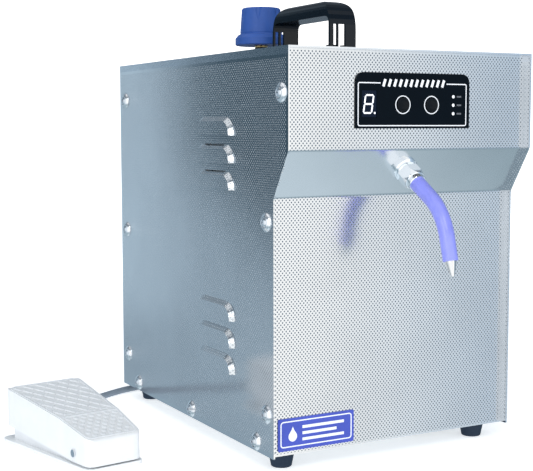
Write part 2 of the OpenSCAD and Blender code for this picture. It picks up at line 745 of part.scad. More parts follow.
module level_probe() color("gainsboro") translate([probe_x, boiler_y, boiler_high]) {
    hexagon(14, 7);
    translate([0, 0, -5]) cylinder(r = 4, h = 6);
    translate([0, 0, -110]) cylinder(r = 1.5, h = 140);
    translate([0, 0, 6]) cylinder(r = 4.5, h = 12);
}

// ---- Steam line ----

module solenoid_body() color("goldenrod") at_nozzle() difference() {
    block([-13, -13, valve_end], [13, 13, -20]);
    translate([0, 0, -28]) cylinder(r = thread_r + 0.1, h = 12);
    translate([0, 0, valve_end - over]) cylinder(r = 5.1, h = 8 + over);
    translate([0, 0, valve_end]) cylinder(r = 3.2, h = 40);
    translate([0, 0, valve_z]) rotate([0, 90, 0]) cylinder(r = plunger_r + fit, h = 20);
}

module solenoid_coil() color("maroon") at_nozzle() translate([13, 0, valve_z]) rotate([0, 90, 0])
    difference() {
        union() {
            translate([0, 0, 0]) cylinder(r = 12, h = 42);
            translate([0, 0, 3]) cylinder(r = 16, h = 36);
            translate([0, 0, 38]) cylinder(r = 7, h = 8);
        }
        translate([0, 0, -over]) cylinder(r = plunger_r + fit, h = 38 + over);
    }

module solenoid_plunger() color("silver") at_nozzle() translate([3.6, 0, valve_z]) rotate([0, 90, 0])
    cylinder(r = plunger_r, h = 40);

// The line leaves the valve along the nozzle's axis, levels out at one elbow and turns
// down into the boiler at the other
module steam_line(r, elbow_r, extra) {
    reach = 76;
    corner = [up_y + nozzle_s * sin(rake_tilt) + reach * cos(rake_tilt),
              up_z - nozzle_s * cos(rake_tilt) + reach * sin(rake_tilt)];
    at_nozzle() translate([0, 0, -reach]) cylinder(r = r, h = reach + valve_end + 8 + extra);
    translate([0, corner[0], corner[1]]) {
        sphere(r = elbow_r);
        rotate([-90, 0, 0]) cylinder(r = r, h = steam_port_y - corner[0]);
    }
    translate([0, steam_port_y, corner[1]]) sphere(r = elbow_r);
    translate([0, steam_port_y, boiler_high - 4 - extra])
        cylinder(r = r, h = corner[1] - boiler_high + 4 + extra);
}

module steam_pipe() color("peru") difference() {
    union() {
        steam_line(5, 7.5, 0);
        translate([0, steam_port_y, boiler_high]) cylinder(r = 9, h = 4);
    }
    steam_line(3.2, 3.8, over);
}

// ---- Electrical parts ----

module mains_inlet() color("black") at_rear(inlet_x, inlet_z) {
    difference() {
        union() {
            linear_extrude(3) polygon(soften(box_outline(-25, -12, 25, 12), 6));
            block([-14, -10, -22], [14, 10, 0.5]);
        }
        block([-12, -8, -18], [12, 8, 4]);
        for (x = [-20, 20]) translate([x, 0, -over]) cylinder(r = 1.7, h = 6);
    }
    for (p = [[-7, -2], [0, 3], [7, -2]]) block([p[0] - 1, p[1] - 2, -18.5], [p[0] + 1, p[1] + 2, -5]);
}

module power_switch_body() color("black") at_rear(inlet_x, switch_z) {
    difference() {
        union() {
            linear_extrude(2) polygon(soften(box_outline(-12.5, -15.5, 12.5, 15.5), 2));
            block([-10, -13, -24], [10, 13, 0.5]);
        }
        block([-8.6, -12, -11], [8.6, 12, 3]);
        rotate([0, 90, 0]) cylinder(r = rocker_pin_r + fit, h = 19.4, center = true);
    }
    for (x = [-5, 5], y = [-8, 8]) block([x - 0.4, y - 3, -32], [x + 0.4, y + 3, -23]);
}

// The rocker turns on two short trunnions and rests with its lower end pressed in
module power_rocker() color("black") at_rear(inlet_x, switch_z) rotate([-rocker_tilt, 0, 0]) {
    translate([-8.1, 0, 0]) rotate([90, 0, 90]) linear_extrude(16.2) polygon(soften(
        [[-9, -6], [9, -6], [10.8, 3.4], [0, 1.6], [-10.8, 3.4]], [1, 1, 0.6, 2, 0.6]));
    rotate([0, 90, 0]) cylinder(r = rocker_pin_r, h = 18.8, center = true);
}

module power_board() color("darkgreen") translate([-120, -130, low_z + sheet]) {
    translate([0, 0, 6]) cube([84, 96, 1.6]);
    for (x = [6, 78], y = [6, 90]) translate([x, y, 0]) cylinder(r = 3, h = 6.5);
    translate([8, 12, 7]) cube([42, 36, 32]);
    translate([58, 12, 7]) cube([18, 28, 16]);
    translate([58, 46, 7]) cube([18, 28, 16]);
    translate([20, 66, 7]) cylinder(r = 10, h = 24);
    translate([34, 80, 7]) cube([40, 10, 12]);
}

// ---- Drain ----

module drain_pipe() color("peru") {
    bend_r = 18;
    translate([drain_spot[0], drain_spot[1], boiler_low + 4]) mirror([0, 0, 1])
        pipe_run([[boiler_low + 4 - drain_z - bend_r], [bend_r, 90],
                  [rear_y + 9 - drain_spot[1] - bend_r]], drain_pipe_r, 4);
}

module at_drain() {
    translate([drain_spot[0], ball_y, drain_z]) children();
}

module drain_valve_body() color("goldenrod") at_drain() difference() {
    union() {
        rotate([-90, 0, 0]) {
            translate([0, 0, rear_y - ball_y]) cylinder(r = 11, h = 10);
            translate([0, 0, -12]) cylinder(r = 13, h = 26);
            translate([0, 0, 14]) hexagon(19, 5);
            translate([0, 0, 19]) cylinder(r = 6.5, h = 18);
        }
        translate([0, 0, 8]) cylinder(r = 5.5, h = 10);
    }
    sphere(r = 9);
    rotate([-90, 0, 0]) {
        translate([0, 0, rear_y - ball_y - over]) cylinder(r = drain_pipe_r + 0.1, h = 11);
        translate([0, 0, -18]) cylinder(r = 4, h = 60);
    }
    cylinder(r = 2.5 + fit, h = 20);
}

// Ball, and the stem with its lever; at rest the bore is across the pipe
module drain_lever() color("firebrick") at_drain() {
    difference() {
        sphere(r = 8.7);
        rotate([0, 90, 0]) cylinder(r = 4, h = 20, center = true);
        translate([0, 0, 6]) cylinder(r = 2.6, h = 5);
    }
    translate([0, 0, 6]) cylinder(r = 2.5, h = 18);
    translate([0, 0, 18.4]) linear_extrude(3) polygon(soften(
        [[-6, -6], [6, -6], [18, -4], [55, -5], [55, 5], [18, 4], [6, 6], [-6, 6]],
        [3, 2, 3, 4, 4, 3, 2, 3]));
}

// ---- Foot pedal ----

function cover_half(v) = (pedal_toe_w + (pedal_heel_w - pedal_toe_w) * v / pedal_len) / 2;
function cover_top(v) = v < ridge_v ? toe_z + (ridge_z - toe_z) * v / ridge_v
    : ridge_z + (heel_z - ridge_z) * (v - ridge_v) / (pedal_len - ridge_v);

// Draws a [v, z] outline across the pedal from u0 to u1
module pedal_slice(u0, u1) {
    translate([u0, 0, 0]) rotate([90, 0, 90]) linear_extrude(u1 - u0) children();
}

// The cover's plan, moved inward by t
function cover_plan(t, cut) = soften([
    [-cover_half(t) + t, t], [cover_half(t) - t, t],
    [cover_half(pedal_len - t) - t, pedal_len - t], [-cover_half(pedal_len - t) + t, pedal_len - t]], cut, 5);

module pedal_base() color("whitesmoke") at_pedal() difference() {
    union() {
        translate([0, 0, pad_h]) linear_extrude(plate_top - pad_h) polygon(soften(
            [[-28.5, -1], [28.5, -1], [44.5, 151], [-44.5, 151]], [7, 7, 12, 12], 5));
        // Side walls inside the cover's skirts, and a heel wall between them
        translate([0, 0, plate_top - 1]) linear_extrude(15.5) difference() {
            polygon([[-cover_half(6) + 3.6, 6], [cover_half(6) - 3.6, 6],
                     [cover_half(138) - 3.6, 138], [-cover_half(138) + 3.6, 138]]);
            polygon([[-cover_half(6) + 6.1, 8.5], [cover_half(6) - 6.1, 8.5],
                     [cover_half(138) - 6.1, 135.5], [-cover_half(138) + 6.1, 135.5]]);
        }
    }
    translate([-50, pivot_v, pivot_z]) rotate([0, 90, 0]) cylinder(r = pin_r + fit, h = 100);
    translate([relief_u, 130, relief_z]) rotate([-90, 0, 0]) cylinder(r = 5.1, h = 20);
}

module pedal_cover() color("white") at_pedal() difference() {
    intersection() {
        linear_extrude(60) polygon(cover_plan(0, 8));
        pedal_slice(-50, 50) polygon(soften([
            [0, hem_z], [pivot_v, hem_z], [pedal_len, skirt_z], [pedal_len, heel_z], [ridge_v, ridge_z],
            [0, toe_z]], [0, 2, 0, 4, 3, 3]));
    }
    intersection() {
        linear_extrude(60) polygon(cover_plan(pedal_wall, 6));
        pedal_slice(-50, 50) polygon([
            [0, 4], [pedal_len, 4], [pedal_len, heel_z - pedal_wall], [ridge_v, ridge_z - pedal_wall],
            [0, toe_z - pedal_wall]]);
    }
    translate([-50, pivot_v, pivot_z]) rotate([0, 90, 0]) cylinder(r = pin_r + fit, h = 100);
    // Notch that clears the cable's strain relief
    block([relief_u - 8, pedal_len - 5, 0], [relief_u + 8, pedal_len + 1, 30]);
}

module pedal_pin() color("silver") at_pedal() {
    reach = cover_half(pivot_v) + 1;
    translate([-reach, pivot_v, pivot_z]) rotate([0, 90, 0]) cylinder(r = pin_r, h = 2 * reach);
    for (s = [-1, 1]) translate([s * reach, pivot_v, pivot_z]) rotate([0, 90, 0])
        cylinder(r = pin_r + 0.5, h = 0.8, center = true);
}

// A tube swept along points: a ring of sides square to the route at each point
function route_way(p, i) = toward(p[max(i - 1, 0)], p[min(i + 1, len(p) - 1)]);
function route_ring(p, i, r, sides) =
    let (way = route_way(p, i), side = cross(way, [0, 0, 1]), across = side / norm(side),
         rise = cross(across, way))
    [for (k = [0:sides - 1]) let (a = 360 * (k + 0.5) / sides + 90)
        p[i] + r * (cos(a) * across + sin(a) * rise)];

module swept_tube(p, r, sides) {
    n = len(p);
    polyhedron(
        points = [for (i = [0:n - 1]) each route_ring(p, i, r, sides)],
        faces = concat(
            [[for (k = [0:sides - 1]) k]],
            [for (i = [0:n - 2], k = [0:sides - 1]) let (a = i * sides + k, b = i * sides + (k + 1) % sides)
                each [[a, a + sides, b], [b, a + sides, b + sides]]],
            [[for (k = [sides - 1:-1:0]) (n - 1) * sides + k]]));
}

module pedal_spring() color("silver") at_pedal() {
    turns = 5;
    steps = 12;
    wire_r = 0.9;
    span = cover_top(spring_v) - pedal_wall - 1 - plate_top - 2 * wire_r;
    swept_tube([for (i = [0:turns * steps]) let (a = 360 * i / steps)
        [spring_r * cos(a), spring_v + spring_r * sin(a),
         plate_top + wire_r + span * i / (turns * steps)]],
        wire_r, 6);
}

module pedal_switch() color("black") at_pedal() {
    block([-20, 54, plate_top], [-8, 84, plate_top + 16]);
    for (u = [-20, -10.4]) block([u, lever_v - 3, plate_top + 15], [u + 2.4, lever_v + 3, lever_z + 3]);
    translate([-18, lever_v, lever_z]) rotate([0, 90, 0]) cylinder(r = 1, h = 8);
}

module switch_lever() color("silver") at_pedal() {
    top = cover_top(roller_v) - pedal_wall - 0.6 - roller_r;
    difference() {
        union() {
            pedal_slice(-17.2, -10.8) polygon([
                [lever_v, lever_z + 1], [lever_v, lever_z + 2.4], [roller_v, top + 1], [roller_v, top - 1]]);
            translate([-17.2, lever_v, lever_z]) rotate([0, 90, 0]) cylinder(r = 2.4, h = 6.4);
        }
        translate([-20, lever_v, lever_z]) rotate([0, 90, 0]) cylinder(r = 1 + fit, h = 12);
    }
    translate([-17.2, roller_v, top]) rotate([0, 90, 0]) cylinder(r = roller_r, h = 6.4);
}

module pedal_feet() color("dimgray") at_pedal() for (p = [[-17, 11], [17, 11], [-31, 138], [31, 138]])
    translate([p[0], p[1], 0]) cylinder(r = 6, h = pad_h);

// ---- Cable ----

// A tapered strain relief along +Z, from a collar at the origin to len
module strain_relief(shank_r, collar_r, len) {
    translate([0, 0, -9]) cylinder(r = shank_r, h = 10);
    rotate_extrude() polygon([[0, 0], [collar_r, 0], [collar_r, 2], [shank_r, 3.5],
                              [cable_r + 0.8, len], [0, len]]);
}

module cable_gland() color("dimgray") at_rear(gland_x, gland_z) strain_relief(6.5, 10, gland_len);

module cable_relief() color("whitesmoke") at_pedal() translate([relief_u, 138, relief_z])
    rotate([-90, 0, 0]) strain_relief(5, 6.4, relief_end - 138);

module cable_coil() color("slategray") translate([coil_x, coil_y, 0])
    rotate_extrude() polygon(soften(box_outline(coil_in_r, 0, coil_out_r, 2 * cable_d), 3));

module cable_lead() color("slategray") swept_tube(lead_route, cable_r, 8);

module cable_tail() color("slategray") swept_tube(tail_route, cable_r, 8);

base_chassis();
front_panel();
side_panel_left();
side_panel_right();
top_cover();
rear_panel();
casing_screws();
cup_washers();
rubber_feet();
mounting_screws();
handle();
control_fascia();
display_module();
button_left();
button_right();
indicator_lights();
control_board();
badge();
nozzle_bulkhead();
nozzle_locknut();
union_nut();
nozzle_tube();
nozzle_sleeve();
nozzle_tip();
filler_neck();
cap_plug();
cap_gasket();
cap_knob();
boiler_shell();
insulation_jacket();
boiler_stand();
heating_element();
thermostat();
pressure_switch();
safety_valve_body();
safety_valve_stem();
level_probe();
steam_pipe();
solenoid_body();
solenoid_coil();
solenoid_plunger();
mains_inlet();
power_switch_body();
power_rocker();
power_board();
drain_pipe();
drain_valve_body();
drain_lever();
pedal_base();
pedal_cover();
pedal_pin();
pedal_spring();
pedal_switch();
switch_lever();
pedal_feet();
cable_gland();
cable_relief();
cable_coil();
cable_lead();
cable_tail();
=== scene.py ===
"""Looks for a bench steam cleaner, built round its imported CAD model. Row frame, metres; names ending in MM
and the points given to at() are millimetres."""

import math

import bmesh
import bpy
from mathutils import Matrix, Quaternion, Vector


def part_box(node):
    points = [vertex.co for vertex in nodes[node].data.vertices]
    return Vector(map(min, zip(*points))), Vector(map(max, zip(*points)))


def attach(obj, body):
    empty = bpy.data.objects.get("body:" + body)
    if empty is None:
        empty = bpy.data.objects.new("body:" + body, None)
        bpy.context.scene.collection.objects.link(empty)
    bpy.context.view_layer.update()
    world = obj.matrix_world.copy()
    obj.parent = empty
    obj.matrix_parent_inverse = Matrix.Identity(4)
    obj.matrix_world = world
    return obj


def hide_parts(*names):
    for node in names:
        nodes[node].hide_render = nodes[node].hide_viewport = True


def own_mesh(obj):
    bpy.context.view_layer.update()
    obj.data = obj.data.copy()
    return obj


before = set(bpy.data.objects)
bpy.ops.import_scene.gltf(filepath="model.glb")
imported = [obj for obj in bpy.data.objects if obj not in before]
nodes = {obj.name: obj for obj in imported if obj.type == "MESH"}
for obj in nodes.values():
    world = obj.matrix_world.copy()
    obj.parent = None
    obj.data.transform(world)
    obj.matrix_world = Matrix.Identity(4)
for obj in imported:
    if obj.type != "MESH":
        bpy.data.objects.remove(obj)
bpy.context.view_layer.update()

MM = 0.001


def at(x, y, z):
    """A point of the row frame given in millimetres."""
    return Vector((x, y, z)) * MM


# ---- Camera ----

CAMERA_PLACE = Vector((-0.6104, -1.0258, 0.3068))
CAMERA_YAW = math.radians(28.69)
CAMERA_PITCH = math.radians(-5.40)
CAMERA_ROLL = -0.0019
CAMERA_LENS_MM = 77.41


def make_camera():
    data = bpy.data.cameras.new("camera")
    data.lens = CAMERA_LENS_MM
    camera = bpy.data.objects.new("camera", data)
    bpy.context.scene.collection.objects.link(camera)
    forward = Vector((math.sin(CAMERA_YAW) * math.cos(CAMERA_PITCH),
                      math.cos(CAMERA_YAW) * math.cos(CAMERA_PITCH), math.sin(CAMERA_PITCH)))
    turn = forward.to_track_quat("-Z", "Y") @ Quaternion((0, 0, 1), CAMERA_ROLL)
    camera.rotation_euler = turn.to_euler()
    camera.location = CAMERA_PLACE
    bpy.context.scene.camera = camera


make_camera()

# ---- Mesh helpers ----


def build(name, mesh, material, body):
    """Turns a bmesh in millimetres into a piece that rides on a body. A material of None is set later."""
    bmesh.ops.recalc_face_normals(mesh, faces=mesh.faces)
    bmesh.ops.scale(mesh, vec=(MM, MM, MM), verts=mesh.verts)
    data = bpy.data.meshes.new(name)
    mesh.to_mesh(data)
    mesh.free()
    data.materials.append(material)
    piece = bpy.data.objects.new(name, data)
    bpy.context.scene.collection.objects.link(piece)
    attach(piece, body)
    return piece


def smooth(piece, limit=35):
    """Smooth shading, broken at edges sharper than limit degrees."""
    piece.data.polygons.foreach_set("use_smooth", [True] * len(piece.data.polygons))
    piece.data.set_sharp_from_angle(angle=math.radians(limit))
    return piece


def add_rings(mesh, rings, closed=False):
    """Joins rings of points into one skin, with a face at each end or from the last ring to the first."""
    made = [[mesh.verts.new(p) for p in ring] for ring in rings]
    count = len(made[0])
    pairs = list(zip(made, made[1:])) + ([(made[-1], made[0])] if closed else [])
    for a, b in pairs:
        for k in range(count):
            mesh.faces.new((a[k], a[(k + 1) % count], b[(k + 1) % count], b[k]))
    if not closed:
        mesh.faces.new(made[0])
        mesh.faces.new(made[-1])


def add_patch(mesh, outline, place, height, inset=0.0, sink=0.2):
    """A raised island: an outline on a surface, its top drawn in by inset. place turns (a, b, height) into
    a point."""
    centre = (sum(p[0] for p in outline) / len(outline), sum(p[1] for p in outline) / len(outline))
    reach = max(math.dist(p, centre) for p in outline)
    shrink = 1 - inset / reach
    top = [(centre[0] + (p[0] - centre[0]) * shrink, centre[1] + (p[1] - centre[1]) * shrink)
           for p in outline]
    add_rings(mesh, [[place(*p, -sink) for p in outline], [place(*p, height * 0.6) for p in outline],
                     [place(*p, height) for p in top]])


def add_line(mesh, points, width, place, height, closed=False, sink=0.1):
    """A raised line of even width along points on a surface."""
    rings = []
    count = len(points)
    for i, p in enumerate(points):
        before = Vector(points[(i - 1) % count] if closed else points[max(i - 1, 0)])
        after = Vector(points[(i + 1) % count] if closed else points[min(i + 1, count - 1)])
        here = Vector(p)
        into = (here - before).normalized() if (here - before).length else (after - here).normalized()
        out = (after - here).normalized() if (after - here).length else into
        way = (into + out).normalized()
        side = Vector((-way.y, way.x)) * (width / 2) / max(0.4, way.dot(into))
        left, right = here + side, here - side
        rings.append([place(*left, -sink), place(*left, height),
                      place(*right, height), place(*right, -sink)])
    add_rings(mesh, rings, closed)


def corner_box(x0, z0, x1, z1, radius, steps=5):
    """A rectangle with round corners, as a closed list of points."""
    points = []
    for cx, cz, start in ((x1 - radius, z0 + radius, -90), (x1 - radius, z1 - radius, 0),
                          (x0 + radius, z1 - radius, 90), (x0 + radius, z0 + radius, 180)):
        for k in range(steps + 1):
            angle = math.radians(start + 90 * k / steps)
            points.append((cx + radius * math.cos(angle), cz + radius * math.sin(angle)))
    return points


def curve_through(knots, steps):
    """A smooth curve through the knots, with steps points from each knot to the next."""
    path = []
    for i in range(len(knots) - 1):
        a, b, c, d = knots[max(i - 1, 0)], knots[i], knots[i + 1], knots[min(i + 2, len(knots) - 1)]
        for k in range(steps):
            t = k / steps
            path.append((2 * b + (c - a) * t + (2 * a - 5 * b + 4 * c - d) * t * t
                         + (3 * b - a - 3 * c + d) * t * t * t) / 2)
    return path + [knots[-1]]


def add_tube(mesh, path, radius, sides):
    """A round tube along a path, its rings turned as little as possible from one to the next."""
    rings = []
    across = Vector((1, 0, 0))
    for i, place in enumerate(path):
        way = (path[min(i + 1, len(path) - 1)] - path[max(i - 1, 0)]).normalized()
        across = (across - way * across.dot(way)).normalized()
        up = way.cross(across)
        rings.append([place + radius * (across * math.cos(2 * math.pi * k / sides)
                                        + up * math.sin(2 * math.pi * k / sides)) for k in range(sides)])
    add_rings(mesh, rings)


def circle(x, z, radius, steps=40):
    return [(x + radius * math.cos(2 * math.pi * k / steps), z + radius * math.sin(2 * math.pi * k / steps))
            for k in range(steps)]


def front_of(node):
    """A placing function for marks on the front of a node, in millimetres."""
    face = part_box(node)[0].y / MM
    return lambda a, b, height: Vector((a, face - height, b))


# ---- Pedal cable ----

CABLE_R = 3.5 * MM
PEDAL_YAW = math.radians(8)
PEDAL_ORIGIN = at(-247, -80, 0)
RELIEF_END = (12, 168, 13.5)           # across, from toe to heel, and height, in the pedal's frame
COIL_CENTRE = (-46, 268)
COIL_OUTER_MM = 46
COIL_PITCH_MM = 7
COIL_TURNS = 4.75
COIL_STEPS = 20                        # points in one turn
CABLE_LOW = 3.5
CABLE_HIGH = 10.5
TIE_ANGLE = math.radians(35)


def pedal_point(across, along, height):
    """A point given in the pedal's frame, in millimetres."""
    return PEDAL_ORIGIN + Matrix.Rotation(PEDAL_YAW, 3, "Z") @ at(across, along, height)


def coil_point(turn):
    """The cable winds inward on the floor, climbs one diameter and winds outward again."""
    angle = math.pi - 2 * math.pi * turn
    radius = COIL_OUTER_MM - COIL_PITCH_MM * min(turn, COIL_TURNS - turn)
    climb = min(1, max(0, (turn - COIL_TURNS / 2) / 0.75 + 0.5))
    height = CABLE_LOW + (CABLE_HIGH - CABLE_LOW) * climb * climb * (3 - 2 * climb)
    return at(COIL_CENTRE[0] + radius * math.cos(angle), COIL_CENTRE[1] + radius * math.sin(angle), height)


CABLE_LEAD = [(-92, 216, 32), (-92, 227, 30), (-92, 236, 25), (-92, 243, 18), (-92, 250, 11),
              (-92, 259, 5.5)]
CABLE_TAIL = [(-62, 220, 9.5), (-78, 216, 6.5), (-95, 211, 4), (-113, 206, 3.5), (-131, 200, 3.5),
              (-149, 191, 3.5), (-166, 181, 3.5), (-184, 173, 3.5), (-203, 167, 3.5), (-222, 160, 3.5),
              (-238, 149, 4.5), (-250, 133, 8), (-255, 114, 12)]


def make_tie():
    """A flat strap wrapped round the coil's turns."""
    inner = COIL_OUTER_MM - COIL_PITCH_MM * COIL_TURNS / 2 - CABLE_LOW - 0.6
    outer = COIL_OUTER_MM + CABLE_LOW + 0.7
    loop = corner_box(inner, 0.05, outer, CABLE_HIGH + CABLE_LOW + 0.7, 4.5)
    skin = corner_box(inner + 0.7, 0.6, outer - 0.7, CABLE_HIGH + CABLE_LOW, 3.8)
    away = Vector((math.cos(TIE_ANGLE), math.sin(TIE_ANGLE), 0))
    along = Vector((-away.y, away.x, 0))

    def ring(outline, shift):
        return [Vector((*COIL_CENTRE, 0)) + away * r + along * shift + Vector((0, 0, z)) for r, z in outline]

    mesh = bmesh.new()
    add_rings(mesh, [ring(loop, -5.5), ring(loop, 5.5), ring(skin, 5.5), ring(skin, -5.5)], closed=True)
    return smooth(build("cable_tie", mesh, None, "cabinet"))


def make_cable():
    coil_steps = int(COIL_TURNS * COIL_STEPS)
    knots = [at(*p) for p in CABLE_LEAD]
    knots += [coil_point(COIL_TURNS * i / coil_steps) for i in range(coil_steps + 1)]
    knots += [at(*p) for p in CABLE_TAIL] + [pedal_point(*RELIEF_END)]
    line = [Vector((p.x, p.y, max(p.z, CABLE_LOW * MM))) for p in curve_through(knots, 3)]
    mesh = bmesh.new()
    add_tube(mesh, [p / MM for p in line], CABLE_R / MM, 20)
    cable = smooth(build("pedal_cable", mesh, None, "cabinet"))
    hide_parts("cable_lead", "cable_coil", "cable_tail")
    make_tie()
    return cable


cable = make_cable()

# ---- Shaders ----


class Nodes:
    """A node tree, with short ways to add and join its nodes."""

    def __init__(self, tree):
        self.tree = tree

    def add(self, kind, settings=None, **inputs):
        node = self.tree.nodes.new(kind)
        for key, value in (settings or {}).items():
            setattr(node, key, value)
        for key, value in inputs.items():
            self.feed(node.inputs[key.replace("_", " ")], value)
        return node

    def feed(self, socket, value):
        if isinstance(value, bpy.types.NodeSocket):
            self.tree.links.new(value, socket)
        elif socket.type == "RGBA" and len(value) == 3:
            socket.default_value = (*value, 1)
        else:
            socket.default_value = value

    def math(self, operation, *values):
        node = self.add("ShaderNodeMath", {"operation": operation})
        for socket, value in zip(node.inputs, values):
            self.feed(socket, value)
        return node.outputs[0]

    def ramp(self, value, low, high, start, end):
        """Maps value from low..high to start..end, held at both ends."""
        node = self.add("ShaderNodeMapRange", {"interpolation_type": "SMOOTHSTEP"}, Value=value,
                        From_Min=low, From_Max=high, To_Min=start, To_Max=end)
        return node.outputs["Result"]

    def mix(self, share, first, second):
        node = self.add("ShaderNodeMix", {"data_type": "RGBA"})
        for socket, value in zip((node.inputs["Factor"], node.inputs["A"], node.inputs["B"]),
                                 (share, first, second)):
            self.feed(socket, value)
        return node.outputs["Result"]


class Shader(Nodes):
    """A material whose pattern is fixed to the object."""

    def __init__(self, name):
        self.material = bpy.data.materials.new(name)
        self.material.use_nodes = True
        super().__init__(self.material.node_tree)
        self.surface = self.tree.nodes["Principled BSDF"]
        self.place = self.add("ShaderNodeTexCoord").outputs["Object"]

    def axes(self):
        split = self.add("ShaderNodeSeparateXYZ", Vector=self.place)
        return split.outputs["X"], split.outputs["Y"], split.outputs["Z"]

    def noise(self, grain, detail=3.0, stretch=(1, 1, 1)):
        """Noise from 0 to 1 with features about one grain wide, in metres."""
        moved = self.add("ShaderNodeMapping", Vector=self.place, Scale=stretch)
        node = self.add("ShaderNodeTexNoise", Vector=moved.outputs["Vector"], Scale=1 / grain, Detail=detail)
        return node.outputs["Fac"]

    def relief(self, height, depth, strength=1.0):
        """Bump from a height of 0 to 1 that stands for depth metres."""
        normal = self.add("ShaderNodeBump", Height=height, Distance=depth, Strength=strength)
        self.feed(self.surface.inputs["Normal"], normal.outputs["Normal"])

    def set(self, **inputs):
        for key, value in inputs.items():
            self.feed(self.surface.inputs[key.replace("_", " ")], value)
        return self.material


def shade(color, amount):
    """The colour made lighter or darker."""
    return tuple(min(1.0, c * amount) for c in color)


DOT_PITCH = 3.6 * MM
DOT_ROW = 2.0 * MM
DOT_R = 0.72 * MM
STEEL = (0.68, 0.71, 0.74)


def embossed_steel(name, across, low, high, dimple_shade, rough, plain=None, relief=1.0):
    """Steel sheet with rows of pressed dots, their colour darkened as painted shade in their hollows. across
    is the index of the sheet's level axis, low and high are the corners of the dotted area along it and
    upward, plain is a band of heights with no dots, and relief is how deep the dots look."""
    s = Shader(name)
    axes = s.axes()
    side, up = axes[across], axes[2]
    row = s.math("DIVIDE", up, DOT_ROW)
    odd = s.math("MULTIPLY", s.math("MODULO", s.math("ABSOLUTE", s.math("FLOOR", row)), 2.0), 0.5)
    column = s.math("ADD", s.math("DIVIDE", side, DOT_PITCH), odd)
    offset_u = s.math("MULTIPLY", s.math("SUBTRACT", s.math("FRACT", column), 0.5), DOT_PITCH)
    offset_v = s.math("MULTIPLY", s.math("SUBTRACT", s.math("FRACT", row), 0.5), DOT_ROW)
    reach = s.math("SQRT", s.math("ADD", s.math("MULTIPLY", offset_u, offset_u),
                                  s.math("MULTIPLY", offset_v, offset_v)))
    dot = s.ramp(reach, DOT_R * 0.55, DOT_R * 1.1, 1.0, 0.0)
    inside = s.math("MULTIPLY", s.math("GREATER_THAN", side, low[0]), s.math("LESS_THAN", side, high[0]))
    inside = s.math("MULTIPLY", inside, s.math("GREATER_THAN", up, low[1]))
    inside = s.math("MULTIPLY", inside, s.math("LESS_THAN", up, high[1]))
    if plain:
        clear = s.math("MULTIPLY", s.math("GREATER_THAN", up, plain[0]), s.math("LESS_THAN", up, plain[1]))
        inside = s.math("MULTIPLY", inside, s.math("SUBTRACT", 1.0, clear))
    dot = s.math("MULTIPLY", dot, inside)
    haze = s.ramp(s.noise(0.09), 0.35, 0.65, 0.0, 1.0)
    grain = s.noise(0.0007, 2.0, (1, 1, 8))
    plate = s.mix(haze, shade(STEEL, 0.95), STEEL)
    # The dots' colour is painted shade in their hollows; the bump gives their real relief.
    s.set(Base_Color=s.mix(dot, plate, dimple_shade), Metallic=1.0,
          Roughness=s.ramp(grain, 0.2, 0.8, rough * 0.85, rough * 1.2))
    pressed = s.math("ADD", s.math("MULTIPLY", dot, -1.0), s.math("MULTIPLY", grain, 0.02))
    s.relief(pressed, 0.3 * MM * relief, 0.8)
    return s.material


def metal(name, color, rough, grain=0.6 * MM, stretch=(1, 1, 1), depth=0.01 * MM, mottle=0.06):
    """Bare or plated metal: fine grain in its gloss and slow changes of tone."""
    s = Shader(name)
    fine = s.noise(grain, 3.0, stretch)
    slow = s.ramp(s.noise(0.02), 0.35, 0.65, 0.0, 1.0)
    s.set(Base_Color=s.mix(slow, shade(color, 1 - mottle), shade(color, 1 + mottle)), Metallic=1.0,
          Roughness=s.ramp(fine, 0.25, 0.75, rough * 0.8, rough * 1.3))
    s.relief(fine, depth)
    return s.material


def moulding(name, color, rough, grain=0.35 * MM, depth=0.012 * MM, mottle=0.05, coat=0.0, soft=0.0,
             gloss=0.5):
    """Moulded plastic or rubber: a fine spark-eroded grain, uneven gloss and slightly worn tone."""
    s = Shader(name)
    fine = s.noise(grain, 2.0)
    slow = s.ramp(s.noise(0.015), 0.3, 0.7, 0.0, 1.0)
    s.set(Base_Color=s.mix(slow, shade(color, 1 - mottle), shade(color, 1 + mottle)),
          Roughness=s.ramp(fine, 0.25, 0.75, rough * 0.85, rough * 1.2))
    s.set(Coat_Weight=coat, Coat_Roughness=0.08, Specular_IOR_Level=gloss)
    if soft:
        s.set(Subsurface_Weight=soft, Subsurface_Radius=(0.004, 0.004, 0.006), Subsurface_Scale=0.5)
    s.relief(fine, depth)
    return s.material


def lit_print(name, color, glow):
    """White ink or a lit segment: nearly flat, with the faint unevenness of screen print. The glow is a lit
    segment's own light, and painted glow on ink.
    """
    s = Shader(name)
    uneven = s.ramp(s.noise(0.4 * MM, 2.0), 0.3, 0.7, 0.0, 1.0)
    tone = s.mix(uneven, shade(color, 0.95), color)
    s.set(Base_Color=tone, Roughness=0.45, Emission_Color=tone, Emission_Strength=glow)
    s.relief(uneven, 0.005 * MM)
    return s.material


def board_green(name):
    """Lacquered circuit board with paler copper tracks under the lacquer."""
    s = Shader(name)
    cells = s.add("ShaderNodeTexVoronoi", {"distance": "MANHATTAN", "feature": "DISTANCE_TO_EDGE"},
                  Vector=s.place, Scale=260.0)
    track = s.ramp(cells.outputs["Distance"], 0.03, 0.09, 1.0, 0.0)
    s.set(Base_Color=s.mix(track, (0.015, 0.10, 0.035), (0.04, 0.22, 0.07)), Roughness=0.3, Coat_Weight=0.4)
    s.relief(track, 0.03 * MM)
    return s.material


def felt(name, color):
    s = Shader(name)
    fibre = s.noise(1.2 * MM, 6.0, (1, 1, 4))
    s.set(Base_Color=s.mix(fibre, shade(color, 0.7), color), Roughness=0.95, Sheen_Weight=0.4)
    s.relief(fibre, 0.6 * MM)
    return s.material


def dress(material, *names):
    for name in names:
        slots = nodes[name].data.materials
        slots.clear()
        slots.append(material)


panel_low, panel_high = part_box("side_panel_left")
front_low, front_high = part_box("front_panel")
BORDER = 4 * MM                        # the plain margin round the dots
PRESSED_Z = (245 * MM, 287 * MM)       # heights of the front's two bends
